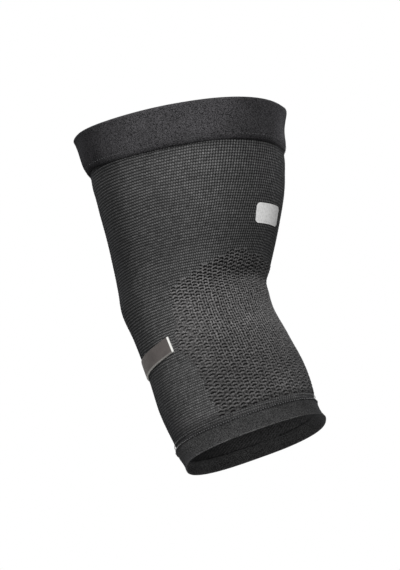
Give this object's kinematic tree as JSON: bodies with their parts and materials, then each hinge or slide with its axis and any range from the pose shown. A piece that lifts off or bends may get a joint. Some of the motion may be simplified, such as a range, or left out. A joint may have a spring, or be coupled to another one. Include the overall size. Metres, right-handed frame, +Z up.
{
  "type": "elbow brace",
  "caption": "Bent knitted elbow sleeve with a folded upper cuff, a raised knit zone over the elbow, a flared hem and a side label.",
  "frame": {"origin": "middle of the arm at the elbow, inside the open tube", "axes": "+Z up along the upper arm, +X towards the inner side of the bend, -Y towards the front"},
  "size_m": [0.1419, 0.0942, 0.23],
  "materials": {
    "knit": "ribbed compression knit",
    "cuff": "fine heathered jersey",
    "hem": "fine smooth knit",
    "label": "woven satin ribbon"
  },
  "bodies": {
    "root": {"knit_sleeve": "knit", "upper_cuff": "cuff", "lower_cuff": "hem", "side_label": "label"}
  },
  "joints": []
}
